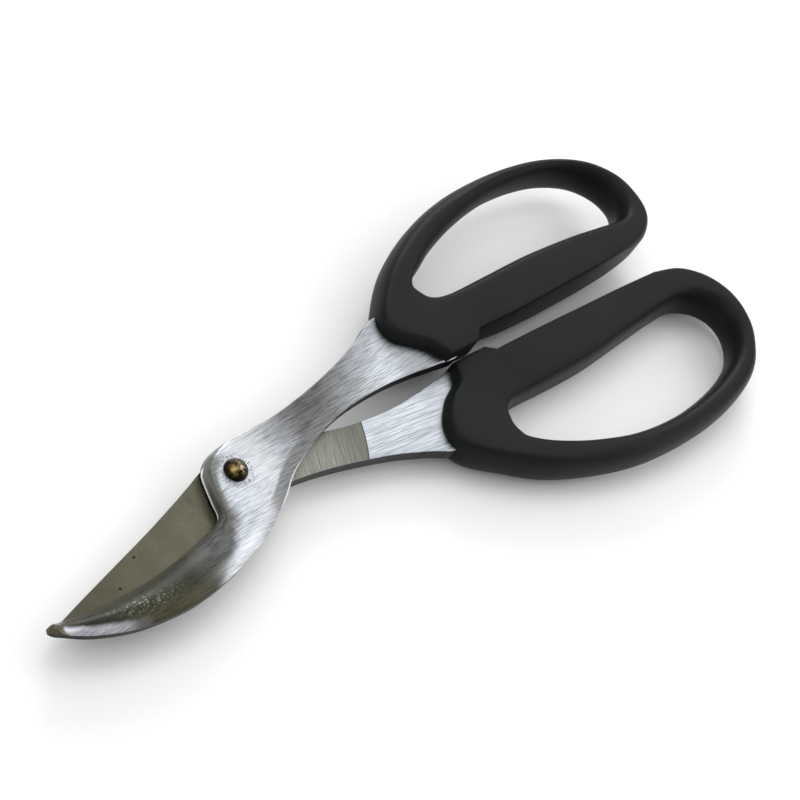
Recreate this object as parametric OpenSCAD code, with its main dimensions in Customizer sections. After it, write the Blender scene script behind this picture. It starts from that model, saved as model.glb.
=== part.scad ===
// Poultry shears: two pressed steel halves that bypass on one rivet,
// each with its tang moulded into a plastic finger loop.
// The shears lie flat, nearly closed. +X runs from the blade tip to the grips,
// +Y to the upper grip, +Z up. The origin is under the middle of the whole.

/* [Blades] */
// Thickness of each steel half
blade_t = 4; // [3:0.1:4.5]
// Gap between the flat inner faces of the two halves
blade_gap = 0.4; // [0.3:0.05:0.6]
// Thickness left standing along both cutting edges
edge_land = 0.5; // [0.3:0.1:0.8]
// Width of the bevel behind the hooked blade's concave edge
hook_bevel_w = 6.5; // [3:0.5:8]
// Width of the bevel behind the cutting blade's convex edge
cutter_bevel_w = 5; // [3:0.5:7]
// Depth of the shallow ground area on the cutting blade's inner face
ground_depth = 0.15; // [0.1:0.05:0.3]

/* [Rivet] */
// Diameter of the rivet's pin, which the hooked blade grips
pin_d = 5; // [4:0.1:6]
// Radial running clearance of the pin in the cutting blade
pin_clearance = 0.05; // [0.03:0.01:0.1]
// Diameter of the domed head
head_d = 6.8; // [6.2:0.1:8]
// Height of the domed head
head_h = 2.6; // [1.5:0.1:3]
// Outer diameter of the burr under the cutting blade
burr_d = 9; // [8:0.5:11]
// Thickness of the burr
burr_t = 1; // [0.5:0.1:1]
// Outer diameter of the thin washer between the blades
washer_d = 11; // [9:0.5:12]
// Height of the peened tail below the burr
tail_h = 1.5; // [0.6:0.1:1.6]

/* [Grips] */
// Thickness of the moulded grips at the bar
grip_t = 15.5; // [14:0.5:18]
// How much lower than the bar's flat top the front of each grip is
front_drop = 1.75; // [0.5:0.05:2]
// Ratio of a round edge's height to its width
round_aspect = 2.2; // [1.5:0.1:2.5]
// How much wider the round edge is under the front of each grip
under_round = 2.5; // [0:0.5:3]
// Diameter of the moulding's key through each tang
key_d = 4; // [2:0.5:4.5]

/* [Hidden] */
$fn = 64;
// Finer circles for the wide arcs of the bevels
bevel_fn = 360;
// Running clearance of the washer and the burr against the cutting blade
face_clearance = 0.05;
// Heights: each half's steel is in the middle of its own grip, so the
// upper grip lies one steel thickness and one gap above the lower one
cutter_z = (grip_t - blade_t) / 2;
hook_z = cutter_z + blade_t + blade_gap;
upper_lift = hook_z - cutter_z;
burr_z = cutter_z - face_clearance - burr_t;
// Width of the peened tail, which spreads over the burr
tail_d = 7.2;
// Points between two outline points, and around one edge of a grip
curve_steps = 4;
round_steps = 3;
// How far behind the edge itself each bevel starts
bevel_back = 0.06;
// Where the bevels and the ground area stop
bevel_end_x = -13;
blade_reach = 90;
ground_centre = [3.5, 14];
ground_r = 46.2;

// One point of a smooth curve through a, b, c and d, between b and c
function between(a, b, c, d, t) =
    b + (c - a) * t / 2 + (a * 2 - b * 5 + c * 4 - d) * t * t / 2
    + (b * 3 - a - c * 3 + d) * t * t * t / 2;

// A smooth open curve through a list of points
function curve(pts) =
    let (last = len(pts) - 1)
    [for (i = [0:last - 1], s = [0:curve_steps - 1])
        between(pts[max(i - 1, 0)], pts[i], pts[i + 1], pts[min(i + 2, last)],
                s / curve_steps),
     pts[last]];

// The radius, the centre and the points of the arc from p to q that
// bows by sag to the right of the way from p to q
function arc_r(p, q, sag) = (pow(norm(q - p) / 2, 2) + sag * sag) / (2 * sag);
function arc_centre(p, q, sag) =
    let (u = (q - p) / norm(q - p), r = arc_r(p, q, sag))
    (p + q) / 2 + [-u[1], u[0]] * (r - sag);
function arc(p, q, sag, steps = 24) =
    let (c = arc_centre(p, q, sag),
         r = arc_r(p, q, sag),
         start = atan2(p[1] - c[1], p[0] - c[0]),
         sweep = 2 * asin(norm(q - p) / 2 / r))
    [for (i = [0:steps]) c + r * [cos(start + sweep * i / steps), sin(start + sweep * i / steps)]];

function flip(pts) = [for (p = pts) [p[0], -p[1]]];
function backwards(pts) = [for (i = [len(pts) - 1:-1:0]) pts[i]];
function low(pts, k) = min([for (p = pts) p[k]]);
function high(pts, k) = max([for (p = pts) p[k]]);

// ---- Outlines, in millimetres from the pivot ----
// Each shank has an edge away from the other half and an edge that faces it,
// both from the pivot to the grip. The cutting half's are mirrored.
hook_outer = [[20, 8.6], [35, 10.8], [50, 14.3], [60, 17.7], [67.5, 20.6]];
hook_inner = [[32, -0.8], [39, 0.8], [48, 2], [58, 2.4], [68, 1.9], [77, 1], [85, 0.8]];
cutter_outer = [[20, 8.6], [35, 11.1], [50, 14.9], [60, 18.5], [67.5, 21.4]];
cutter_inner = [[32, -0.6], [39, 1.1], [48, 2.4], [58, 2.9], [68, 2.4], [77, 1.5], [85, 1.1]];
// The tang that the grip is moulded around
tang = [[76, 19], [88, 13.6], [118, 12.6], [118, 8.4], [93, 7.4], [88, 4.4]];
tang_key = [104, 10.4];

// The hooked blade's concave edge, from tip to heel
hook_edge = [[-70.8, -13.1], [-18, -10.7]];
hook_edge_sag = 2.7;
// The belly, from the shank to the tip, and the small round lip at the tip
hook_belly = [[24, -3.8], [15.6, -7.6], [5.7, -14.4], [-6, -20], [-22, -24.5], [-38, -26],
              [-52, -24.7], [-64, -21], [-71.6, -16.8], [-74.1, -14.6], [-73.5, -13.3],
              [-72, -13]];
// The heel of the edge, and the rounded shoulder beside the rivet
hook_heel = [[-14.1, -9.9], [-11, -8], [-9.9, -4.2], [-8.4, 1], [-7.1, 4.2],
             [-4.8, 6.4], [-1, 7.8], [8, 8.3]];

// The cutting blade's convex edge, from tip to heel, and its spine
cutter_edge = [[-70.2, -14.2], [-8, -11.5]];
cutter_edge_sag = 5.3;
cutter_root = [[4, -9.1], [13, -8.2]];
cutter_spine = [[24, 2.9], [14, 5.5], [4, 6.7], [-5, 5.4], [-12, 3.1], [-20, 0.5]];
cutter_tip = [-70.4, -13.7];

hook_outline = concat(
    curve(concat(hook_heel, hook_outer)), tang,
    curve(concat(backwards(hook_inner), hook_belly)),
    arc(hook_edge[0], hook_edge[1], hook_edge_sag));
cutter_outline = concat(
    arc(cutter_edge[0], cutter_edge[1], cutter_edge_sag),
    curve(concat(cutter_root, flip(cutter_outer))), flip(tang),
    curve(concat(flip(backwards(cutter_inner)), cutter_spine)),
    [cutter_tip]);

// Each grip is a ring of cross-sections. A row holds the outer point, the
// point of the finger hole that faces it, the widths of the round edge on the
// outside and on the hole side, and how far the section has dropped towards the
// thinner front, as a part of front_drop.
// The first rows are the stop nub and the straight bar, the rest is curved.
// The lower grip is drawn on the +Y side and mirrored.
upper_bar = [
    [79.7, 0.6, 86.4, 18.7, 1.2, 1.6, 1],
    [85, 0.6, 88.6, 17.6, 0.8, 1.8, 0.9],
    [90, 0.6, 92, 17, 0.8, 2, 0.8],
    [93.2, 3.4, 96.5, 16.8, 0.8, 2.2, 0.7],
    [108, 3, 108, 16.9, 0.8, 2.4, 0.3],
    [125, 3.4, 124, 16.9, 0.8, 2.4, 0],
    [142, 3.9, 141, 16, 0.8, 2.4, 0],
    [154, 4.6, 153, 14.8, 1, 2.6, 0]];
upper_loop = [
    [164, 5.8, 160.4, 14.4, 1.8, 2.8, 0.3],
    [171.8, 10.5, 164.4, 16.4, 3, 3.2, 0.7],
    [174.2, 18, 166.4, 20.6, 3.4, 3.4, 0.85],
    [172.6, 26.6, 165, 26.6, 3.4, 3.4, 0.85],
    [165.4, 34.8, 159, 32.8, 3.4, 3.4, 0.85],
    [151.6, 41, 147.8, 36.9, 3.4, 3.4, 0.85],
    [133, 43.7, 132, 38.1, 3.4, 3.4, 0.85],
    [114, 43.1, 115.8, 35.8, 3.4, 3.4, 0.85],
    [97, 39, 101.4, 31.6, 3.4, 3.4, 0.9],
    [82, 32.1, 92, 27.4, 4, 3, 0.95],
    [71.8, 23.9, 87.2, 25.4, 4, 2.4, 1],
    [67.4, 18, 85, 23.4, 3.4, 2, 1],
    [68, 12.4, 84.8, 22, 2.8, 1.8, 1],
    [72.3, 8.6, 85.2, 20.6, 2.4, 1.6, 1],
    [76.8, 4.8, 85.7, 19.5, 2, 1.6, 1]];
lower_bar = [
    [82.8, 0.1, 89, 18.6, 1.2, 1.6, 1],
    [88.6, 0.1, 91.6, 17.4, 0.8, 1.8, 0.9],
    [94.4, 0.2, 95.8, 17, 0.8, 2, 0.8],
    [97.2, 2.4, 101, 17, 0.8, 2.4, 0.6],
    [112, 2.6, 111, 17.1, 0.8, 2.6, 0.2],
    [129, 2.9, 126, 16.8, 0.8, 2.8, 0],
    [146, 3.1, 142, 15.2, 0.8, 2.8, 0],
    [162, 3.4, 157, 13.8, 1.2, 3, 0]];
lower_loop = [
    [171.8, 5, 166, 13.8, 2.4, 3.4, 0.3],
    [179.4, 9.6, 172, 16.9, 3.4, 3.6, 0.7],
    [183.7, 16.8, 175.4, 21.8, 3.8, 3.8, 0.85],
    [184.1, 25, 175.4, 27.2, 3.8, 3.8, 0.85],
    [180.8, 33.5, 172, 32.6, 3.8, 3.8, 0.85],
    [172.2, 42.2, 165.6, 36.8, 3.6, 3.6, 0.85],
    [157.3, 47.4, 153.6, 40.4, 3.4, 3.4, 0.85],
    [140, 49.4, 138, 42.2, 3.4, 3.4, 0.85],
    [120.8, 48.7, 122, 41, 3.4, 3.4, 0.85],
    [103.8, 44.9, 108.4, 37.2, 3.4, 3.4, 0.9],
    [88.4, 38.9, 97.4, 32.8, 3.6, 3, 0.95],
    [75.9, 30.3, 89.6, 28.5, 3.6, 2.4, 1],
    [68.8, 24.2, 87.6, 25.7, 3.4, 2, 1],
    [66.6, 18.8, 87.2, 23.2, 2.8, 1.8, 1],
    [68.6, 13.2, 87.5, 21.4, 2.6, 1.6, 1],
    [74, 8, 87.9, 20.2, 2.4, 1.6, 1],
    [80, 4.6, 88.4, 19.2, 2, 1.6, 1]];

// All the rows of one grip, with the curved stretch filled in
function ring(bar, loop) =
    let (last = len(bar) - 1,
         round_part = curve(concat([bar[last]], loop, [bar[0]])))
    concat([for (i = [0:last - 1]) bar[i]],
           [for (i = [0:len(round_part) - 2]) round_part[i]]);

// One cross-section of a grip: up the outside, over the top and down the hole side.
// Each corner is a quarter of an ellipse, r wide and h high.
function section(row) =
    let (outer = [row[0], row[1]],
         inner = [row[2], row[3]],
         across = (inner - outer) / norm(inner - outer),
         widest = norm(inner - outer) * 0.47,
         base = front_drop * max(row[6], 0),
         top = grip_t - base,
         under = row[4] + under_round * max(row[6], 0),
         r = [for (one = [row[4], row[5], under]) min(one, widest)],
         h = [for (one = r) min(one * round_aspect, (top - base) * 0.49)],
         turn = [for (i = [0:round_steps]) 90 * i / round_steps])
    concat(
        [for (a = turn) at(outer + across * r[2] * (1 - sin(a)), base + h[2] * (1 - cos(a)))],
        [for (a = turn) at(outer + across * r[0] * (1 - cos(a)), top - h[0] * (1 - sin(a)))],
        [for (a = turn) at(inner - across * r[1] * (1 - sin(a)), top - h[1] * (1 - cos(a)))],
        [for (a = turn) at(inner - across * r[1] * (1 - cos(a)), base + h[1] * (1 - sin(a)))]);
function at(p, z) = [p[0], p[1], z];

upper_ring = ring(upper_bar, upper_loop);
lower_ring = ring(lower_bar, lower_loop);
// The middle of the whole outline is brought over the origin
centre_x = (low(hook_outline, 0) + high(lower_ring, 0)) / 2;
centre_y = (high(upper_ring, 1) - high(lower_ring, 1)) / 2;

module placed() {
    translate([-centre_x, -centre_y, 0]) children();
}

// A closed ring of cross-sections
module ring_solid(rows) {
    sections = [for (row = rows) section(row)];
    n = len(sections);
    m = len(sections[0]);
    polyhedron(
        points = [for (one = sections) each one],
        faces = [for (i = [0:n - 1], j = [0:m - 1])
            let (ni = (i + 1) % n, nj = (j + 1) % m)
            [i * m + j, i * m + nj, ni * m + nj, ni * m + j]]);
}

// One half as a flat plate, with the hole that keys it into its grip
module plate(outline, z, key) {
    difference() {
        translate([0, 0, z]) linear_extrude(blade_t) polygon(outline);
        translate([key[0], key[1], z - 1]) cylinder(d = key_d, h = blade_t + 2);
    }
}
module hook_plate() {
    plate(hook_outline, hook_z, tang_key);
}
module cutter_plate() {
    plate(cutter_outline, cutter_z, [tang_key[0], -tang_key[1]]);
}

// A cone rises from the edge land, so the blade thins towards its concave edge
module hook_bevel() {
    centre = arc_centre(hook_edge[0], hook_edge[1], hook_edge_sag);
    r = arc_r(hook_edge[0], hook_edge[1], hook_edge_sag);
    rise = blade_t - edge_land;
    intersection() {
        translate([centre[0], centre[1], hook_z + edge_land])
            cylinder(r1 = r + bevel_back, r2 = r + hook_bevel_w * 2, h = rise * 2, $fn = bevel_fn);
        translate([-blade_reach, -blade_reach, hook_z])
            cube([blade_reach + bevel_end_x, blade_reach, rise * 2]);
    }
}

// Under the cutting blade everything outside a cone goes, up to the edge land
module cutter_bevel() {
    centre = arc_centre(cutter_edge[0], cutter_edge[1], cutter_edge_sag);
    r = arc_r(cutter_edge[0], cutter_edge[1], cutter_edge_sag);
    rise = blade_t - edge_land;
    difference() {
        translate([-blade_reach, -blade_reach, cutter_z - rise])
            cube([blade_reach + bevel_end_x, blade_reach, rise * 2]);
        translate([centre[0], centre[1], cutter_z - rise])
            cylinder(r1 = r - cutter_bevel_w * 2, r2 = r - bevel_back, h = rise * 2, $fn = bevel_fn);
    }
}

// The hollow-ground area from the blade's tip to an arc across the shank
module ground_area() {
    floor_z = cutter_z + blade_t - ground_depth;
    translate([ground_centre[0], ground_centre[1], floor_z])
        cylinder(r = ground_r, h = blade_t, $fn = bevel_fn);
    translate([-blade_reach, -blade_reach / 2, floor_z])
        cube([blade_reach, blade_reach, blade_t]);
}

module dome(r, h) {
    rotate_extrude()
        polygon(concat([[0, 0]], [for (a = [0:10:90]) [r * cos(a), h * sin(a)]]));
}

module hook_blade() {
    color("silver") placed() difference() {
        hook_plate();
        hook_bevel();
        translate([0, 0, hook_z - 1]) cylinder(d = pin_d, h = blade_t + 2);
    }
}

module cutting_blade() {
    color("gainsboro") placed() difference() {
        cutter_plate();
        cutter_bevel();
        ground_area();
        translate([0, 0, cutter_z - 1]) cylinder(r = pin_d / 2 + pin_clearance, h = blade_t + 2);
    }
}

module upper_grip() {
    color([0.18, 0.19, 0.18]) placed() difference() {
        translate([0, 0, upper_lift]) ring_solid(upper_ring);
        hook_plate();
    }
}

module lower_grip() {
    color([0.18, 0.19, 0.18]) placed() difference() {
        mirror([0, 1, 0]) ring_solid(lower_ring);
        cutter_plate();
    }
}

// Domed head on the hooked blade, pin through both, peened tail under the burr
module pivot_rivet() {
    pin_top = hook_z + blade_t;
    color([0.42, 0.34, 0.2]) placed() {
        translate([0, 0, pin_top]) dome(head_d / 2, head_h);
        translate([0, 0, burr_z]) cylinder(d = pin_d, h = pin_top - burr_z);
        translate([0, 0, burr_z]) mirror([0, 0, 1]) dome(tail_d / 2, tail_h);
    }
}

module rivet_burr() {
    color([0.5, 0.42, 0.26]) placed() translate([0, 0, burr_z]) difference() {
        cylinder(d = burr_d, h = burr_t);
        translate([0, 0, -1]) cylinder(d = pin_d, h = burr_t + 2);
    }
}

// It lies against the hooked blade and runs on the cutting blade's ground face
module pivot_washer() {
    washer_t = blade_gap + ground_depth - face_clearance;
    color([0.72, 0.6, 0.36]) placed() translate([0, 0, hook_z - washer_t]) difference() {
        cylinder(d = washer_d, h = washer_t);
        translate([0, 0, -1]) cylinder(d = pin_d, h = washer_t + 2);
    }
}

hook_blade();
cutting_blade();
upper_grip();
lower_grip();
pivot_rivet();
rivet_burr();
pivot_washer();
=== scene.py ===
"""Poultry shears: smooth steel, moulded grips and a domed rivet on the CAD frame."""
import math

import bmesh
import bpy
from mathutils import Matrix, Vector


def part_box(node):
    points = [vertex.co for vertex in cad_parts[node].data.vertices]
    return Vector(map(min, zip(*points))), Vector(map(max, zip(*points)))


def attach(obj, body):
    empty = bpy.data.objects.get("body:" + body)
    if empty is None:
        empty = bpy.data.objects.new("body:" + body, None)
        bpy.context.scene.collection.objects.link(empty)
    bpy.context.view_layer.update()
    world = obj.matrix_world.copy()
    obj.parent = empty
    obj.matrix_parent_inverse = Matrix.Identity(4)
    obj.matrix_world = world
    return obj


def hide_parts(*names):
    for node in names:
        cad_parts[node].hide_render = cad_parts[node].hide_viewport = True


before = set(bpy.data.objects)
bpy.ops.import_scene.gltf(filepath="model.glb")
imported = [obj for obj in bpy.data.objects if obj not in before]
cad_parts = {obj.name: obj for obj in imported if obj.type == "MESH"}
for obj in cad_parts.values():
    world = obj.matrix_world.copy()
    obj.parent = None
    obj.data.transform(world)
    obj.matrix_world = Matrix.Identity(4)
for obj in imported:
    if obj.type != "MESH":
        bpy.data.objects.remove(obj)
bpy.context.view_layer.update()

MM = 0.001
UV_SPAN = 50.0  # mm of distance that the map "edges" holds per unit
rivet_low, rivet_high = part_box("pivot_rivet")
PIVOT = (rivet_low + rivet_high) / 2
HOOK_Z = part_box("hook_blade")[0].z / MM
CUTTER_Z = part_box("cutting_blade")[0].z / MM
BLADE_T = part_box("hook_blade")[1].z / MM - HOOK_Z
GRIP_T = (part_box("lower_grip")[1].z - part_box("lower_grip")[0].z) / MM
UPPER_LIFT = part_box("upper_grip")[0].z / MM


# ---------------------------------------------------------------- meshes
def between(a, b, c, d, t):
    """One point of a smooth curve through a, b, c and d, between b and c."""
    return tuple(
        q
        + (r - p) * t / 2
        + (2 * p - 5 * q + 4 * r - s) * t * t / 2
        + (3 * q - p - 3 * r + s) * t**3 / 2
        for p, q, r, s in zip(a, b, c, d)
    )


def curve(rows, steps):
    """A smooth open curve through a list of rows."""
    last = len(rows) - 1
    out = []
    for i in range(last):
        a, b, c, d = rows[max(i - 1, 0)], rows[i], rows[i + 1], rows[min(i + 2, last)]
        out += [between(a, b, c, d, s / steps) for s in range(steps)]
    return out + [tuple(rows[last])]


def lerp(a, b, t):
    return a + (b - a) * t


def ease(x, low, high):
    """0 below low, 1 above high, smooth between them."""
    t = min(max((x - low) / (high - low), 0.0), 1.0)
    return t * t * (3 - 2 * t)


def piece_of(name, points, faces, material_of=None, spread=None):
    """A smooth-shaded object from points in mm from the pivot."""
    mesh = bpy.data.meshes.new(name)
    places = [(x * MM + PIVOT.x, y * MM + PIVOT.y, z * MM) for x, y, z in points]
    mesh.from_pydata(places, [], faces)
    work = bmesh.new()
    work.from_mesh(mesh)
    bmesh.ops.recalc_face_normals(work, faces=work.faces)
    work.to_mesh(mesh)
    work.free()
    mesh.polygons.foreach_set("use_smooth", [True] * len(faces))
    if material_of:
        mesh.polygons.foreach_set("material_index", material_of)
    if spread:
        layer = mesh.uv_layers.new(name="edges")
        for loop in mesh.loops:
            layer.data[loop.index].uv = spread[loop.vertex_index]
    piece = bpy.data.objects.new(name, mesh)
    bpy.context.scene.collection.objects.link(piece)
    return piece


def loft(name, sections, z, closed=False, skin=None):
    """A skin over cross-sections of the same number of points, in mm from the
    pivot, at height z. skin(i, j) gives the material of each face."""
    count, around = len(sections), len(sections[0])
    points = [(x, y, h + z) for one in sections for x, y, h in one]
    faces, material_of = [], []
    for i in range(count if closed else count - 1):
        for j in range(around):
            n, k = (i + 1) % count, (j + 1) % around
            faces.append((i * around + j, n * around + j, n * around + k, i * around + k))
            material_of.append(skin(i, j) if skin else 0)
    if not closed:
        last = (count - 1) * around
        faces += [tuple(range(around)), tuple(last + j for j in reversed(range(around)))]
        material_of += [1, 1]
    spread = None
    if not closed:
        ends = [
            (one[0], max(one, key=lambda q: math.dist(q[:2], one[0][:2]))) for one in sections
        ]
        spread = [
            (math.dist(q[:2], a[:2]) / UV_SPAN, math.dist(q[:2], b[:2]) / UV_SPAN)
            for one, (a, b) in zip(sections, ends)
            for q in one
        ]
    return piece_of(name, points, faces, material_of, spread)


def sharpen(piece, degrees):
    """Keeps the edges that bend by more than that angle crisp."""
    piece.data.set_sharp_from_angle(angle=math.radians(degrees))


def circle(x, y, r, start=0.0, end=360.0, steps=64):
    """Points round an arc, in mm from the pivot and in degrees."""
    turn = [math.radians(lerp(start, end, i / steps)) for i in range(steps)]
    return [(x + r * math.cos(a), y + r * math.sin(a)) for a in turn]


def carve(piece, outline, low, high):
    """Cuts a straight-sided hole or recess out of a piece, which keeps its map and skins."""
    n = len(outline)
    faces = [tuple(range(n)), tuple(range(n, 2 * n))]
    faces += [(i, (i + 1) % n, n + (i + 1) % n, n + i) for i in range(n)]
    tool = piece_of("carving_tool", [(x, y, h) for h in (low, high) for x, y in outline], faces)
    cut = piece.modifiers.new("carving", "BOOLEAN")
    cut.object, cut.operation, cut.solver = tool, "DIFFERENCE", "EXACT"
    graph = bpy.context.evaluated_depsgraph_get()
    carved = bpy.data.meshes.new_from_object(
        piece.evaluated_get(graph), preserve_all_data_layers=True, depsgraph=graph
    )
    piece.modifiers.remove(cut)
    bpy.data.objects.remove(tool)
    piece.data = carved


def turned(name, profile, z, steps=96):
    """A solid of revolution about the pivot from (radius, height) points, top first."""
    around = len(profile)
    points, faces = [], []
    for i in range(steps):
        a = 2 * math.pi * i / steps
        points += [(r * math.cos(a), r * math.sin(a), h + z) for r, h in profile]
        here, there = i * around, (i + 1) % steps * around
        faces += [(here + j, there + j, there + j + 1, here + j + 1) for j in range(around - 1)]
    faces.append(tuple(i * around for i in reversed(range(steps))))
    faces.append(tuple(i * around + around - 1 for i in range(steps)))
    piece = piece_of(name, points, faces)
    sharpen(piece, 40)
    return piece


# ---------------------------------------------------------------- node materials
class Surface:
    """A procedural material on one Principled shader, in mm from the pivot."""

    def __init__(self, name, metallic, roughness, **constants):
        self.mat = bpy.data.materials.new(name)
        self.mat.use_nodes = True
        self.tree = self.mat.node_tree
        self.tree.nodes.clear()
        self.shader = self.node("ShaderNodeBsdfPrincipled")
        out = self.node("ShaderNodeOutputMaterial")
        self.tree.links.new(self.shader.outputs[0], out.inputs["Surface"])
        self.shader.inputs["Metallic"].default_value = metallic
        self.shader.inputs["Roughness"].default_value = roughness
        for key, value in constants.items():
            self.shader.inputs[key.replace("_", " ")].default_value = value
        coords = self.node("ShaderNodeTexCoord")
        place = self.node("ShaderNodeMapping", vector_type="TEXTURE")
        place.inputs["Location"].default_value = (PIVOT.x, PIVOT.y, 0)
        place.inputs["Scale"].default_value = (MM, MM, MM)
        self.tree.links.new(coords.outputs["Object"], place.inputs["Vector"])
        self.place = place.outputs[0]
        split = self.node("ShaderNodeSeparateXYZ")
        self.tree.links.new(self.place, split.inputs[0])
        self.x, self.y = split.outputs[:2]

    def node(self, kind, **props):
        made = self.tree.nodes.new(kind)
        for key, value in props.items():
            setattr(made, key, value)
        return made

    def put(self, socket, value):
        if isinstance(value, bpy.types.NodeSocket):
            self.tree.links.new(value, socket)
        else:
            socket.default_value = value

    def math(self, op, a, b=0.0, c=0.0):
        made = self.node("ShaderNodeMath", operation=op)
        for socket, value in zip(made.inputs, (a, b, c)):
            self.put(socket, value)
        return made.outputs[0]

    def add(self, *terms):
        total = terms[0]
        for term in terms[1:]:
            total = self.math("ADD", total, term)
        return total

    def times(self, a, b):
        return self.math("MULTIPLY", a, b)

    def within(self, value, low, high):
        """0 at low, 1 at high, smooth between them; high may be below low."""
        if high < low:
            return self.math("SUBTRACT", 1.0, self.within(value, high, low))
        made = self.node("ShaderNodeMapRange", interpolation_type="SMOOTHSTEP")
        self.put(made.inputs["Value"], value)
        made.inputs["From Min"].default_value = low
        made.inputs["From Max"].default_value = high
        return made.outputs["Result"]

    def bump_at(self, value, low, middle, high):
        """0 at low and high, 1 at middle."""
        return self.times(self.within(value, low, middle), self.within(value, high, middle))

    def mix(self, factor, a, b):
        made = self.node("ShaderNodeMix", data_type="RGBA")
        self.put(made.inputs["Factor"], factor)
        self.put(made.inputs[6], a)
        self.put(made.inputs[7], b)
        return made.outputs[2]

    def noise(self, scale, detail=2.0, rough=0.5, stretch=(1, 1, 1), turn=0.0, offset=0.0):
        """Noise with scale cycles per mm; stretch lengthens it along the axes,
        turned by that many degrees."""
        place = self.node("ShaderNodeMapping", vector_type="TEXTURE")
        place.inputs["Rotation"].default_value = (0, 0, math.radians(turn))
        place.inputs["Scale"].default_value = stretch
        place.inputs["Location"].default_value = (offset, offset, 0)
        self.put(place.inputs["Vector"], self.place)
        made = self.node("ShaderNodeTexNoise")
        self.put(made.inputs["Vector"], place.outputs[0])
        made.inputs["Scale"].default_value = scale
        made.inputs["Detail"].default_value = detail
        made.inputs["Roughness"].default_value = rough
        return made.outputs["Fac"]

    def distance(self, x, y):
        """Distance in plan from a point."""
        dx = self.math("SUBTRACT", self.x, x)
        dy = self.math("SUBTRACT", self.y, y)
        return self.math("SQRT", self.add(self.times(dx, dx), self.times(dy, dy)))

    def level(self, value, low, high):
        """A value from 0 to 1 turned into one from low to high."""
        return self.math("MULTIPLY_ADD", value, high - low, low)

    def color(self, value):
        self.put(self.shader.inputs["Base Color"], value)

    def rough(self, value):
        self.put(self.shader.inputs["Roughness"], value)

    def relief(self, height, depth):
        """Bump from a height of 0 to 1 that stands for depth mm."""
        made = self.node("ShaderNodeBump")
        made.inputs["Distance"].default_value = depth * MM
        made.inputs["Strength"].default_value = 1.0
        self.put(made.inputs["Height"], height)
        self.put(self.shader.inputs["Normal"], made.outputs[0])


def grey(value, warm=0.0):
    """A grey, with red raised and blue lowered by that share."""
    return (value * (1 + warm), value, value * (1 - warm), 1)


# ---------------------------------------------------------------- hooked blade
# Rows of the hooked half, in mm from the pivot: a point of its edge on the +Y side,
# and the point of its other edge that lies across from it
HOOK_ROWS = [
    (-73.5, -13.3, -74.1, -14.6),
    (-72.4, -13.05, -73.3, -15.7),
    (-70.8, -13.1, -71.6, -16.8),
    (-64, -14, -64, -21),
    (-54, -14.7, -52, -24.7),
    (-40, -14.4, -38, -26),
    (-28, -12.9, -28, -25.4),
    (-18, -10.8, -19, -23.8),
    (-14.1, -9.9, -14.8, -22.7),
    (-11, -8, -10.6, -21.4),
    (-9.9, -4.2, -6, -20),
    (-8.4, 1, -1.6, -18.2),
    (-7.1, 4.2, 2, -16.4),
    (-4.8, 6.4, 5.7, -14.4),
    (-1, 7.8, 9.6, -11.9),
    (8, 8.3, 15.6, -7.6),
    (20, 8.6, 24, -3.8),
    (30, 9.9, 32, -0.8),
    (40, 11.8, 41, 1.2),
    (50, 14.3, 50, 2.15),
    (60, 17.7, 58.6, 2.4),
    (67.5, 20.6, 68, 1.9),
    (76, 19.6, 77, 1),
    (86, 15.5, 85, 0.8),
    (96, 13.2, 93, 7.4),
]
STEPS = 14  # cross-sections per row
# Steps across a top: near the first edge, between, and near the second edge
START_STEPS, MIDDLE_STEPS, END_STEPS = 11, 8, 7
TOP_COUNT = START_STEPS + MIDDLE_STEPS + 1 + END_STEPS
# The strips of a cross-section that are its two sheared sides, with the broken
# edges below them
SIDES = (TOP_COUNT - 1, TOP_COUNT, TOP_COUNT + 2, TOP_COUNT + 3)
FOOT = 0.15  # the broken edge of the underside
EDGE_BREAK = 0.15  # and of the cutting blade's top
HEEL_REACH, BEVEL_REACH = 2.8, 9.0  # width of the roll beside the rivet and of the hollow
BELLY_REACH = 6.0  # and of the softened belly
# The pin's radius, what the hole that grips it and the hole that turns on it add
# to that, and how far a cut runs past the steel
PIN_R = 2.5
PIN_FIT = 0.01
PIN_CLEARANCE = 0.05
CUT_PAST = 1
# The cutting blade's ground area ends in an arc across the shank
GROUND_CENTRE = (3.5, 14)
GROUND_R = 46.2
GROUND_DEPTH = 0.15


def blade_share(row):
    """0 on the shank, 1 on the blade of the hooked half."""
    return 1 - ease(row[0], -22, -9.5)


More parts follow.
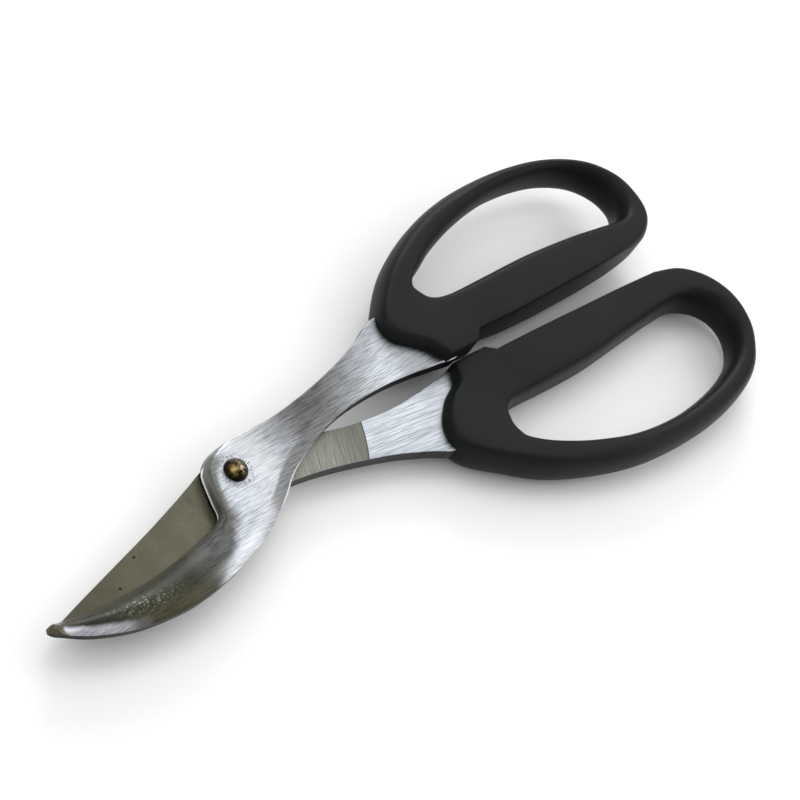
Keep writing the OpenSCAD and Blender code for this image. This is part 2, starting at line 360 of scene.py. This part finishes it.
def hook_top(row):
    """The height of the hooked half's top for the distances from its two edges.
    It falls away to the concave edge, rolls over beside the rivet down to a
    small foot, is softened along the belly and rounded at the tip."""
    blade = blade_share(row)
    lip = 1 - ease(row[0], -72.5, -69)
    shank = ease(row[0], -3.5, 5)
    foot = ease(row[0], -14.1, -12.5) * (1 - ease(row[0], -7.6, -6))
    nose = math.sqrt(1 - (1 - min((row[0] - HOOK_ROWS[0][0]) / 2.4, 1)) ** 2)
    full = lerp(1.3, BLADE_T, nose)
    low = min(lerp(lerp(lerp(0.9, 0.5, blade), BLADE_T - 0.35, shank), 1.1, lip), full)
    reach = lerp(lerp(lerp(HEEL_REACH, 0.35, shank), BEVEL_REACH, blade), 2.2, lip)
    power = lerp(0.6, 1.0, blade * (1 - lip))
    belly = 1 - ease(row[2], 2, 16)
    neck = 1 - ease(row[2], 26, 44)
    fall = lerp(lerp(0.35, 0.9, neck), 1.9, belly)
    margin = lerp(lerp(0.35, 4.4, neck), BELLY_REACH, belly)
    bend = lerp(1.3, 2.0, max(belly, 1 - neck))

    def top(s, t):
        h = full
        if s < reach:
            h -= (full - low) * (1 - (1 - (1 - s / reach) ** 3) ** power)
        if t < margin:
            h -= min(fall, full * 0.6) * (1 - t / margin) ** bend
        h -= foot * max(h - FOOT - s, 0) * (1 - ease(s, 0.22, 0.34))
        return max(h, 0.2)

    return top


def strip(row, top, marks, foot):
    """One cross-section of a steel half: across the top, down one side, back
    along the flat underside and up the other. foot is the height and the width
    of what is cut off under the row's second edge."""
    x0, y0, x1, y1 = row[:4]
    width = math.hypot(x1 - x0, y1 - y0)
    across = ((x1 - x0) / width, (y1 - y0) / width)
    points = [(mark * width, top(mark * width, (1 - mark) * width)) for mark in marks]
    points += [(width, foot[0]), (width - foot[1], 0)]
    points += [(min(FOOT, width * 0.2), 0), (0, FOOT)]
    return [(x0 + across[0] * d, y0 + across[1] * d, h) for d, h in points]


def eased_marks(row, near, far):
    """Places across a row with closer steps inside near and far mm of its edges."""
    width = math.hypot(row[2] - row[0], row[3] - row[1])
    near, far = min(near / width, 0.35), min(far / width, 0.35)
    start = [near * (i / START_STEPS) ** 2 for i in range(START_STEPS)]
    middle = [lerp(near, 1 - far, i / MIDDLE_STEPS) for i in range(MIDDLE_STEPS + 1)]
    end = [1 - far * (i / END_STEPS) ** 1.4 for i in range(END_STEPS - 1, -1, -1)]
    return start + middle + end


hook_sections = []
for row in curve(HOOK_ROWS, STEPS):
    marks = eased_marks(row, lerp(HEEL_REACH, BEVEL_REACH, blade_share(row)), BELLY_REACH)
    hook_sections.append(strip(row, hook_top(row), marks, (FOOT, FOOT)))


def hook_skin(i, j):
    """0 brushed top, 1 sheared side painted dark as shade."""
    return 1 if j in SIDES else 0


hook = loft("hook_blade_steel", hook_sections, HOOK_Z, skin=hook_skin)
hook_top_z = HOOK_Z + BLADE_T
carve(hook, circle(0, 0, PIN_R + PIN_FIT), HOOK_Z - CUT_PAST, hook_top_z + CUT_PAST)
sharpen(hook, 38)

# ---------------------------------------------------------------- cutting blade
# Rows of the cutting half, as above
CUTTER_ROWS = [
    (-70.3, -13.8, -70.3, -14.3),
    (-60, -10.8, -60, -16.7),
    (-46, -6.95, -46, -18.2),
    (-32, -3.1, -32, -17.6),
    (-20, 0.5, -20, -15.3),
    (-12, 3.1, -13, -13.2),
    (-5, 5.4, -6, -11),
    (4, 6.7, 4, -9.1),
    (14, 5.5, 13, -8.2),
    (24, 2.9, 20, -8.6),
    (32, 0.6, 30, -10.1),
    (41, -1.5, 40, -12.3),
    (50, -2.55, 50, -14.9),
    (58.6, -2.9, 60, -18.5),
    (68, -2.4, 67.5, -21.4),
    (77, -1.5, 76, -19.6),
    (85, -1.1, 86, -15.5),
    (93, -7.4, 96, -13.2),
]


def cutter_top(s, t):
    """A flat inner face with its two edges broken."""
    cut = max(1 - s / EDGE_BREAK, 0) ** 2 + max(1 - t / EDGE_BREAK, 0) ** 2
    return BLADE_T - EDGE_BREAK * cut


cutter_rows = [CUTTER_ROWS[0]] + curve(CUTTER_ROWS[1:], STEPS)
cutter_sections = []
for row in cutter_rows:
    blade = 1 - ease((row[0] + row[2]) / 2, -15, -7)
    width = math.hypot(row[2] - row[0], row[3] - row[1])
    bevel = (lerp(FOOT, BLADE_T - 0.6, blade), min(lerp(FOOT, 5.0, blade), width * 0.75))
    marks = eased_marks(row, EDGE_BREAK, EDGE_BREAK)
    cutter_sections.append(strip(row, cutter_top, marks, bevel))


def cutter_skin(i, j):
    """0 the flat faces and the bevel underneath, 1 the sheared sides painted dark as shade."""
    if j == TOP_COUNT and cutter_rows[i][0] < -10:
        return 0
    return 1 if j in SIDES else 0


cutter = loft("cutting_blade_steel", cutter_sections, CUTTER_Z, skin=cutter_skin)
cutter_top_z = CUTTER_Z + BLADE_T
ground_outline = [(-90, 60), (-90, -32)] + circle(*GROUND_CENTRE, GROUND_R, -94, 94)
carve(cutter, ground_outline, cutter_top_z - GROUND_DEPTH, cutter_top_z + CUT_PAST)
bore = circle(0, 0, PIN_R + PIN_CLEARANCE)
carve(cutter, bore, CUTTER_Z - CUT_PAST, cutter_top_z + CUT_PAST)
sharpen(cutter, 25)

# ---------------------------------------------------------------- grips
# A row holds the outer point, the point of the finger hole that faces it, the
# widths of the round edge outside and on the hole side, and how far the section
# has dropped towards the thinner front. The lower grip is mirrored.
UPPER_BAR = [
    (79.7, 0.6, 86.4, 18.7, 1.2, 1.6, 1),
    (85, 0.6, 88.6, 17.6, 0.8, 1.8, 0.9),
    (90, 0.6, 92, 17, 0.8, 2, 0.8),
    (93.2, 3.4, 96.5, 16.8, 0.8, 2.2, 0.7),
    (108, 3, 108, 16.9, 0.8, 2.4, 0.3),
    (125, 3.4, 124, 16.9, 0.8, 2.4, 0),
    (142, 3.9, 141, 16, 0.8, 2.4, 0),
    (154, 4.6, 153, 14.8, 1, 2.6, 0),
]
UPPER_LOOP = [
    (164, 5.8, 160.4, 14.4, 1.8, 2.8, 0.3),
    (171.8, 10.5, 164.4, 16.4, 3, 3.2, 0.7),
    (174.2, 18, 166.4, 20.6, 3.4, 3.4, 0.85),
    (172.6, 26.6, 165, 26.6, 3.4, 3.4, 0.85),
    (165.4, 34.8, 159, 32.8, 3.4, 3.4, 0.85),
    (151.6, 41, 147.8, 36.9, 3.4, 3.4, 0.85),
    (133, 43.7, 132, 38.1, 3.4, 3.4, 0.85),
    (114, 43.1, 115.8, 35.8, 3.4, 3.4, 0.85),
    (97, 39, 101.4, 31.6, 3.4, 3.4, 0.9),
    (82, 32.1, 92, 27.4, 4, 3, 0.95),
    (71.8, 23.9, 87.2, 25.4, 4, 2.4, 1),
    (67.4, 18, 85, 23.4, 3.4, 2, 1),
    (68, 12.4, 84.8, 22, 2.8, 1.8, 1),
    (72.3, 8.6, 85.2, 20.6, 2.4, 1.6, 1),
    (76.8, 4.8, 85.7, 19.5, 2, 1.6, 1),
]
LOWER_BAR = [
    (82.8, 0.1, 89, 18.6, 1.2, 1.6, 1),
    (88.6, 0.1, 91.6, 17.4, 0.8, 1.8, 0.9),
    (94.4, 0.2, 95.8, 17, 0.8, 2, 0.8),
    (97.2, 2.4, 101, 17, 0.8, 2.4, 0.6),
    (112, 2.6, 111, 17.1, 0.8, 2.6, 0.2),
    (129, 2.9, 126, 16.8, 0.8, 2.8, 0),
    (146, 3.1, 142, 15.2, 0.8, 2.8, 0),
    (162, 3.4, 157, 13.8, 1.2, 3, 0),
]
LOWER_LOOP = [
    (171.8, 5, 166, 13.8, 2.4, 3.4, 0.3),
    (179.4, 9.6, 172, 16.9, 3.4, 3.6, 0.7),
    (183.7, 16.8, 175.4, 21.8, 3.8, 3.8, 0.85),
    (184.1, 25, 175.4, 27.2, 3.8, 3.8, 0.85),
    (180.8, 33.5, 172, 32.6, 3.8, 3.8, 0.85),
    (172.2, 42.2, 165.6, 36.8, 3.6, 3.6, 0.85),
    (157.3, 47.4, 153.6, 40.4, 3.4, 3.4, 0.85),
    (140, 49.4, 138, 42.2, 3.4, 3.4, 0.85),
    (120.8, 48.7, 122, 41, 3.4, 3.4, 0.85),
    (103.8, 44.9, 108.4, 37.2, 3.4, 3.4, 0.9),
    (88.4, 38.9, 97.4, 32.8, 3.6, 3, 0.95),
    (75.9, 30.3, 89.6, 28.5, 3.6, 2.4, 1),
    (68.8, 24.2, 87.6, 25.7, 3.4, 2, 1),
    (66.6, 18.8, 87.2, 23.2, 2.8, 1.8, 1),
    (68.6, 13.2, 87.5, 21.4, 2.6, 1.6, 1),
    (74, 8, 87.9, 20.2, 2.4, 1.6, 1),
    (80, 4.6, 88.4, 19.2, 2, 1.6, 1),
]
FRONT_DROP = 1.75  # mm taken off the top and the underside where a row says 1
ROUND_ASPECT = 2.2  # height of a rounded corner for its width
UNDER_ROUND = 2.5  # mm added to the outer corner underneath where a row says 1
CROWN = 0.12  # mm, over a width of CROWN_WIDTH or more
CROWN_WIDTH = 14
CROWN_STEPS = 6
ROUND_STEPS = 7
LOOP_STEPS = 10


def ring(bar, loop, steps):
    """All the rows of one grip: the bar's outer side is straight, all else is curved."""
    last = len(bar) - 1
    rows = []
    for i in range(last):
        before = bar[i - 1] if i else loop[-1]
        after = bar[i + 2] if i + 2 <= last else loop[0]
        soft = curve([before, bar[i], bar[i + 1], after], steps)[steps : 2 * steps]
        for s in range(steps):
            t = s / steps
            place = [lerp(p, q, t) for p, q in zip(bar[i][:2], bar[i + 1][:2])]
            rows.append(tuple(place) + tuple(soft[s][2:]))
    return rows + curve([bar[last]] + loop + [bar[0]], steps)[:-1]


def grip_section(row, side):
    """One cross-section of a grip. Each corner is a quarter of an ellipse; the
    top between them is slightly crowned."""
    ox, oy, ix, iy = row[:4]
    width = math.hypot(ix - ox, iy - oy)
    across = ((ix - ox) / width, (iy - oy) / width)
    drop = max(row[6], 0)
    base = FRONT_DROP * drop
    top = GRIP_T - base
    under = row[4] + UNDER_ROUND * drop
    r = [min(one, width * 0.47) for one in (row[4], row[5], under)]
    h = [min(one * ROUND_ASPECT, (top - base) * 0.49) for one in r]
    turn = [math.pi / 2 * i / ROUND_STEPS for i in range(ROUND_STEPS + 1)]
    flat = CROWN * min(width / CROWN_WIDTH, 1)
    points = []

    def at(s, z):
        points.append((ox + across[0] * s, (oy + across[1] * s) * side, z))

    for a in turn:
        at(r[2] * (1 - math.sin(a)), base + h[2] * (1 - math.cos(a)))
    for a in turn:
        at(r[0] * (1 - math.cos(a)), top - flat - (h[0] - flat) * (1 - math.sin(a)))
    for i in range(1, CROWN_STEPS):
        t = i / CROWN_STEPS
        at(lerp(r[0], width - r[1], t), top - flat * (2 * t - 1) ** 2)
    for a in turn:
        at(width - r[1] * (1 - math.sin(a)), top - flat - (h[1] - flat) * (1 - math.cos(a)))
    for a in turn:
        at(width - r[1] * (1 - math.cos(a)), base + h[1] * (1 - math.sin(a)))
    return points


def grip(name, bar, loop, side, z):
    """A whole grip; side is 1 for the upper one and -1 for the lower one."""
    sections = [grip_section(row, side) for row in ring(bar, loop, LOOP_STEPS)]
    if side > 0:
        sections = [list(reversed(one)) for one in sections]
    piece = loft(name, sections, z, closed=True)
    sharpen(piece, 40)
    return piece


upper = grip("upper_grip_moulding", UPPER_BAR, UPPER_LOOP, 1, UPPER_LIFT)
lower = grip("lower_grip_moulding", LOWER_BAR, LOWER_LOOP, -1, 0)

# ---------------------------------------------------------------- rivet
HEAD_R, HEAD_H = 3.4, 2.6
TAIL_R, TAIL_H = 3.6, 1.5
SEAT = 0.02  # mm that the inner faces of the head and the tail slope towards the pin
tail_low = rivet_low.z / MM - hook_top_z
tail_top = tail_low + TAIL_H


def dome(radius, height, base, start, sweep, steps):
    """Points of a domed end from near its top, at start degrees, to its rim."""
    turn = [math.radians(start + sweep * i / steps) for i in range(steps + 1)]
    return [(radius * math.sin(a), base + height * math.cos(a)) for a in turn]


profile = dome(HEAD_R, HEAD_H, 0, 4, 86, 14)
profile += [(PIN_R, -SEAT), (PIN_R, tail_top + SEAT), (TAIL_R, tail_top)]
for i in range(10):
    a = math.radians(8 + 78 * i / 9)
    profile.append((TAIL_R * math.cos(a), tail_top + (tail_low - tail_top) * math.sin(a)))
rivet = turned("rivet_head_and_tail", profile, hook_top_z)

# ---------------------------------------------------------------- materials
def streaks(m, turn, length, width, offset):
    """Brush lines from 0 to 1: long scratches and short fine ones."""
    scratch = m.noise(1.0, 4, 0.65, (length, width * 2.2, 1), turn, offset)
    coarse = m.within(scratch, 0.39, 0.61)
    hair = m.noise(1.0, 2, 0.6, (length * 0.4, width, 1), turn + 3, offset + 40)
    small = m.within(hair, 0.38, 0.62)
    return m.add(m.times(coarse, 0.55), m.times(small, 0.45))


def edges(m):
    """Distances in mm from the two edges of a steel half."""
    uv = m.node("ShaderNodeUVMap", uv_map="edges")
    split = m.node("ShaderNodeSeparateXYZ")
    m.put(split.inputs[0], uv.outputs[0])
    return m.times(split.outputs[0], UV_SPAN), m.times(split.outputs[1], UV_SPAN)


def brushed_steel():
    """The hooked half's top and underside. s and t are the distances from its two
    edges, and drift makes the borders between its tones uneven."""
    m = Surface("brushed_steel", 1.0, 0.34, Anisotropic=0.3)
    s, t = edges(m)
    lines = streaks(m, 3, 9, 0.13, 0)
    cloud = m.noise(0.12, 3, 0.55)
    drift = m.level(cloud, -5, 5)
    x = m.add(m.x, drift)
    tone = m.mix(lines, (0.18, 0.195, 0.215, 1), (0.53, 0.56, 0.60, 1))
    # a painted highlight across the steel round the rivet
    tone = m.mix(m.times(m.bump_at(x, -6, 7, 18), 0.16), tone, grey(0.72, 0.02))
    # painted shade: the waist of the shank is darker, and so is the margin that faces the other
    # half
    waist_shade = m.times(
        m.within(m.add(x, m.times(m.y, 0.3)), 3, 32),
        m.within(m.add(x, m.times(m.y, -0.8)), 62, 28),
    )
    tone = m.mix(waist_shade, tone, m.mix(lines, grey(0.032, 0.03), grey(0.125, 0.03)))
    margin = m.times(
        m.within(m.add(t, m.times(drift, 0.15)), 4.2, 3.2),
        m.times(m.within(m.x, 0, 6), m.within(m.x, 46, 30)),
    )
    tone = m.mix(m.times(margin, 0.85), tone, m.mix(lines, grey(0.06), grey(0.18)))
    # painted shade on the end of the shank beside the grip
    shade = m.within(x, 62, 69)
    tone = m.mix(m.times(shade, 0.5), tone, grey(0.12))
    # the blade turns from grey beside the rivet to dark olive
    blade = m.times(
        m.within(m.add(m.x, m.times(m.y, -1.2), drift), 10, 5), m.within(x, -4, -12)
    )
    near = m.mix(lines, grey(0.06, 0.01), grey(0.21, 0.01))
    worn = m.add(m.times(lines, 0.6), m.times(cloud, 0.4))
    olive = m.mix(worn, (0.017, 0.016, 0.005, 1), (0.056, 0.053, 0.024, 1))
    # painted shade darkens the flat middle of the blade and its bevel
    flat = m.times(m.within(s, 3.5, 8), m.within(t, 1.5, 5))
    near = m.mix(m.times(flat, 0.9), near, m.mix(lines, grey(0.03), grey(0.09)))
    bevel = m.bump_at(s, 0, 3.2, 7.5)
    dark = m.add(m.times(flat, 0.7), m.times(bevel, 0.8))
    olive = m.mix(dark, olive, (0.009, 0.008, 0.002, 1))
    # painted shade makes the bottom of the hollow and the belly's edge the darkest
    hollow = m.bump_at(s, 0.8, 3.8, 7.4)
    dark = m.add(m.times(hollow, 0.6), m.times(m.within(t, 3.5, 1.5), 0.8))
    near = m.mix(dark, near, grey(0.01))
    olive = m.mix(m.times(hollow, 0.75), olive, (0.004, 0.004, 0.002, 1))
    tone = m.mix(m.times(blade, 0.96), tone, m.mix(m.within(x, -12, -34), near, olive))
    # painted highlights along the belly and along the tip's lower side
    uneven = m.add(t, m.times(drift, 0.2))
    belly = m.times(m.within(uneven, 5, 2.2), m.bump_at(m.x, -27, -10, 11))
    painted_highlight = m.mix(lines, (0.38, 0.40, 0.42, 1), (0.64, 0.66, 0.69, 1))
    tone = m.mix(m.times(belly, 0.9), tone, painted_highlight)
    tip = m.times(m.within(uneven, 3.2, 1.4), m.within(x, -46, -60))
    painted_highlight = m.mix(lines, (0.37, 0.36, 0.40, 1), (0.74, 0.72, 0.79, 1))
    tone = m.mix(m.times(tip, 0.9), tone, painted_highlight)
    # the lip at the tip is brown, with a painted highlight as a pale rim beside it
    lip = m.within(m.add(m.x, m.times(m.y, 0.3)), -74.6, -75.9)
    tone = m.mix(m.times(lip, 0.95), tone, (0.085, 0.074, 0.044, 1))
    rim = m.times(m.bump_at(s, -0.2, 0.5, 1.2), m.bump_at(m.x, -73, -71, -67.5))
    tone = m.mix(m.times(rim, 0.8), tone, (0.36, 0.37, 0.34, 1))
    # painted shade makes the side that rolls over beside the rivet a darker grey, also made less
    # metallic, and a painted highlight makes its foot bright
    heel = m.times(m.within(m.x, 1, -4), m.within(m.x, -18, -11))
    roll = m.times(m.within(s, 4.6, 2.6), heel)
    dull_and_shade = m.mix(lines, (0.06, 0.06, 0.05, 1), (0.12, 0.12, 0.10, 1))
    tone = m.mix(m.times(roll, 0.85), tone, dull_and_shade)
    heel = m.times(m.within(m.x, -11.8, -10.6), m.within(m.x, -5.8, -6.8))
    foot = m.times(m.within(s, 0.27, 0.19), heel)
    tone = m.mix(foot, tone, m.mix(lines, (0.8, 0.8, 0.74, 1), (1, 1, 0.97, 1)))
    # a painted highlight: a thin pale line along the edge that crosses the cutting half
    thin = m.times(m.within(t, 0.45, 0.25), m.bump_at(m.x, -2, 10, 26))
    tone = m.mix(m.times(thin, 0.7), tone, grey(0.7))
    # pale rubbed specks on the belly, and staking marks round the rivet
    speck = m.within(m.noise(1.9, 4, 0.75, (1.7, 0.9, 1), 20), 0.54, 0.62)
    spot = m.times(speck, m.times(m.bump_at(m.x, -64, -46, -30), m.bump_at(t, 1.5, 5, 9)))
    tone = m.mix(m.times(spot, 0.65), tone, (0.26, 0.26, 0.20, 1))
    speck = m.within(m.noise(2.0, 3, 0.7), 0.53, 0.6)
    mark = m.times(m.bump_at(m.distance(0, 0), 3.2, 4.3, 6.0), speck)
    tone = m.mix(m.times(mark, 0.85), tone, grey(0.03, 0.1))
    m.color(tone)
    dull_and_shade = m.times(m.within(s, 2.0, 0.9), m.within(roll, 0.3, 0.8))
    m.put(m.shader.inputs["Metallic"], m.level(dull_and_shade, 1.0, 0.3))
    m.rough(m.level(worn, 0.24, 0.44))
    m.relief(m.add(lines, m.times(mark, -2.0)), 0.012)
    return m.mat


def steel_wall():
    """The sheared sides of both halves, painted dark as shade."""
    m = Surface("sheared_steel_side", 1.0, 0.5)
    lines = m.noise(1.0, 3, 0.6, (0.5, 0.5, 4))
    cloud = m.noise(0.3, 2, 0.5)
    worn = m.add(m.times(lines, 0.6), m.times(cloud, 0.4))
    m.color(m.mix(worn, grey(0.015, 0.02), grey(0.065)))
    m.rough(m.level(lines, 0.4, 0.6))
    m.relief(lines, 0.02)
    return m.mat


def ground_steel():
    """The cutting half: brushed near the grip, ground towards the blade."""
    m = Surface("ground_steel", 1.0, 0.4, Anisotropic=0.3)
    brushed = streaks(m, -5, 14, 0.14, 20)
    ground = streaks(m, 64, 10, 0.16, 60)
    cloud = m.noise(0.15, 4, 0.6)
    reach = m.distance(*GROUND_CENTRE)
    inside = m.within(reach, GROUND_R + 0.1, GROUND_R - 0.1)
    area = m.math("MAXIMUM", inside, m.within(m.x, 0.5, -0.5))
    outer = m.mix(brushed, (0.19, 0.205, 0.23, 1), (0.55, 0.58, 0.62, 1))
    # the ground face is grey on the shank and a cloudy olive on the blade
    shank = m.mix(ground, (0.10, 0.102, 0.085, 1), (0.235, 0.24, 0.215, 1))
    shank = m.mix(m.times(m.within(m.x, 30, 44), 0.55), shank, (0.07, 0.072, 0.06, 1))
    blotch = m.add(m.times(ground, 0.25), m.times(m.within(cloud, 0.3, 0.7), 0.75))
    face = m.mix(blotch, (0.072, 0.070, 0.047, 1), (0.100, 0.097, 0.071, 1))
    face = m.mix(m.times(m.within(m.x, -20, -62), 0.65), face, (0.045, 0.043, 0.029, 1))
    tone = m.mix(area, outer, m.mix(m.within(m.x, -3, 14), face, shank))
    step = m.bump_at(reach, GROUND_R - 0.4, GROUND_R - 0.05, GROUND_R + 0.3)
    tone = m.mix(m.times(m.times(step, 0.5), m.within(m.x, 2, 6)), tone, grey(0.05))
    pits = [m.within(m.distance(*at), 0.45, 0.2) for at in ((-38.8, -7.0), (-47.9, -12.6))]
    pit = m.math("MAXIMUM", *pits)
    tone = m.mix(m.times(pit, 0.95), tone, grey(0.006))
    m.color(tone)
    m.rough(m.level(m.mix(area, brushed, ground), 0.28, 0.48))
    m.relief(m.add(m.times(brushed, 0.5), m.times(pit, -8)), 0.02)
    return m.mat


def moulded_plastic():
    """Satin black plastic with a fine grain and faint rubbed streaks."""
    m = Surface("moulded_plastic", 0.0, 0.42, IOR=1.5, Specular_IOR_Level=0.1)
    grain = m.noise(2.2, 3, 0.6)
    cloud = m.noise(0.06, 3, 0.55)
    rub = m.noise(0.5, 4, 0.7, (5, 1, 1), 20)
    tone = m.mix(cloud, (0.0062, 0.0078, 0.0071, 1), (0.0100, 0.0122, 0.0111, 1))
    tone = m.mix(m.times(m.within(rub, 0.62, 0.8), 0.3), tone, (0.024, 0.027, 0.024, 1))
    m.color(tone)
    m.rough(m.level(m.add(m.times(grain, 0.5), m.times(rub, 0.5)), 0.34, 0.52))
    m.relief(grain, 0.02)
    return m.mat


def rivet_metal():
    """Dark bronze with a painted gold highlight, a painted glint and a darker rim of painted
    shade.
    """
    m = Surface("rivet_metal", 1.0, 0.3)
    patch = m.noise(0.9, 3, 0.6)
    fine = m.noise(4, 3, 0.6)
    tone = m.mix(m.within(patch, 0.42, 0.66), (0.018, 0.014, 0.006, 1), (0.11, 0.085, 0.04, 1))
    # a painted gold highlight on the head
    gold = m.times(m.within(m.distance(-2.0, -0.7), 1.9, 0.5), m.within(patch, 0.36, 0.56))
    tone = m.mix(m.times(gold, 0.8), tone, (0.36, 0.27, 0.11, 1))
    ragged = m.within(m.noise(1.3, 2, 0.5, (0.6, 1.6, 1), 30, 9), 0.5, 0.6)
    glint = m.times(m.within(m.distance(0.5, -0.7), 1.7, 0.5), ragged)
    tone = m.mix(m.times(glint, 0.9), tone, (0.85, 0.70, 0.52, 1))
    # painted shade darkens the head towards its rim
    rim = m.within(m.distance(0, 0), 2.2, 3.1)
    tone = m.mix(m.times(rim, 0.85), tone, (0.012, 0.010, 0.006, 1))
    m.color(tone)
    m.rough(m.level(fine, 0.2, 0.42))
    m.relief(m.add(patch, m.times(fine, 0.25)), 0.2)
    return m.mat


def burr_metal():
    """The hidden burr and washer."""
    m = Surface("burr_metal", 1.0, 0.35)
    rings = m.noise(3, 3, 0.6)
    patch = m.noise(0.5, 3, 0.6)
    m.color(m.mix(patch, (0.32, 0.25, 0.14, 1), (0.6, 0.5, 0.33, 1)))
    m.rough(m.level(rings, 0.28, 0.48))
    m.relief(rings, 0.03)
    return m.mat


steel, wall, ground = brushed_steel(), steel_wall(), ground_steel()
plastic, bronze, brass = moulded_plastic(), rivet_metal(), burr_metal()

# Each visible piece rides on its body and stands for one CAD node
for piece, body, node, slot, mats in (
    (hook, "hook_half", "hook_blade", "brushed_steel", (steel, wall)),
    (cutter, "cutter_half", "cutting_blade", "ground_steel", (ground, wall)),
    (upper, "hook_half", "upper_grip", "grip_plastic", (plastic,)),
    (lower, "cutter_half", "lower_grip", "grip_plastic", (plastic,)),
    (rivet, "hook_half", "pivot_rivet", "rivet_metal", (bronze,)),
):
    for mat in mats:
        piece.data.materials.append(mat)
    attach(piece, body)
    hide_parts(node)

# The burr and the washer are the CAD's own, with their edges broken
for name in ("rivet_burr", "pivot_washer"):
    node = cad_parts[name]
    node.data.materials.clear()
    node.data.materials.append(brass)
    edge = node.modifiers.new("edge", "BEVEL")
    edge.width = 0.08 * MM
    edge.segments = 3
    edge.limit_method = "ANGLE"

# ---------------------------------------------------------------- floor, light and camera
FLOOR_REACH = 3.0
FLOOR_DROP = 0.0002  # keeps the floor just under what rests on it
corners = [(x * FLOOR_REACH, y * FLOOR_REACH, 0) for x, y in ((-1, -1), (1, -1), (1, 1), (-1, 1))]
floor_mesh = bpy.data.meshes.new("floor")
floor_mesh.from_pydata(corners, [], [(0, 1, 2, 3)])
floor = bpy.data.objects.new("floor", floor_mesh)
floor.location.z = -FLOOR_DROP
bpy.context.scene.collection.objects.link(floor)
pale = Surface("pale_floor", 0.0, 0.9)
pale.color(pale.mix(pale.noise(0.02, 2, 0.5), grey(0.86), grey(0.9)))
floor_mesh.materials.append(pale.mat)

world = bpy.data.worlds.new("studio")
world.use_nodes = True
background = world.node_tree.nodes["Background"]
background.inputs["Color"].default_value = (1, 1, 1, 1)
background.inputs["Strength"].default_value = 0.5
bpy.context.scene.world = world
bpy.context.scene.view_settings.view_transform = "Standard"


def direction(azimuth, elevation):
    """From the shears towards that azimuth and elevation, in degrees."""
    a, e = math.radians(azimuth), math.radians(elevation)
    return Vector((math.sin(a) * math.cos(e), -math.cos(a) * math.cos(e), math.sin(e)))


def soft_light(name, azimuth, elevation, distance, size, radiance):
    """A square soft box that faces the shears; distance and size are in metres."""
    away = direction(azimuth, elevation)
    light = bpy.data.lights.new(name, "AREA")
    light.shape = "SQUARE"
    light.size = size
    light.energy = radiance * math.pi * size * size
    lamp = bpy.data.objects.new(name, light)
    lamp.location = away * distance
    lamp.rotation_mode = "QUATERNION"
    lamp.rotation_quaternion = away.to_track_quat("Z", "Y")
    bpy.context.scene.collection.objects.link(lamp)


soft_light("behind", 109, 48, 1.6, 1.3, 1.5)
soft_light("overhead", 200, 70, 1.4, 0.7, 2.4)
soft_light("window", 144, 26, 1.5, 0.6, 7.5)
soft_light("low", 42, 14, 1.5, 0.5, 3)
soft_light("side", 58, 40, 1.5, 0.7, 2.3)
soft_light("left", -112, 36, 1.5, 0.7, 1.8)
soft_light("front", -75, 60, 1.5, 0.6, 1.6)

AZIMUTH, ELEVATION, ROLL = -71.13, 48.0, 38.3
DISTANCE = 1.042
SENSOR, LENS = 36.0, 175.5  # mm
aim = Vector((PIVOT.x + 0.0619, PIVOT.y - 0.0020, 0.01))
back = direction(AZIMUTH, ELEVATION)
camera_data = bpy.data.cameras.new("camera")
camera_data.sensor_width = SENSOR
camera_data.lens = LENS
camera_data.clip_start, camera_data.clip_end = 0.05, 20
camera = bpy.data.objects.new("camera", camera_data)
camera.matrix_world = (
    Matrix.Translation(aim + back * DISTANCE)
    @ (-back).to_track_quat("-Z", "Y").to_matrix().to_4x4()
    @ Matrix.Rotation(math.radians(ROLL), 4, "Z")
)
bpy.context.scene.collection.objects.link(camera)
bpy.context.scene.camera = camera
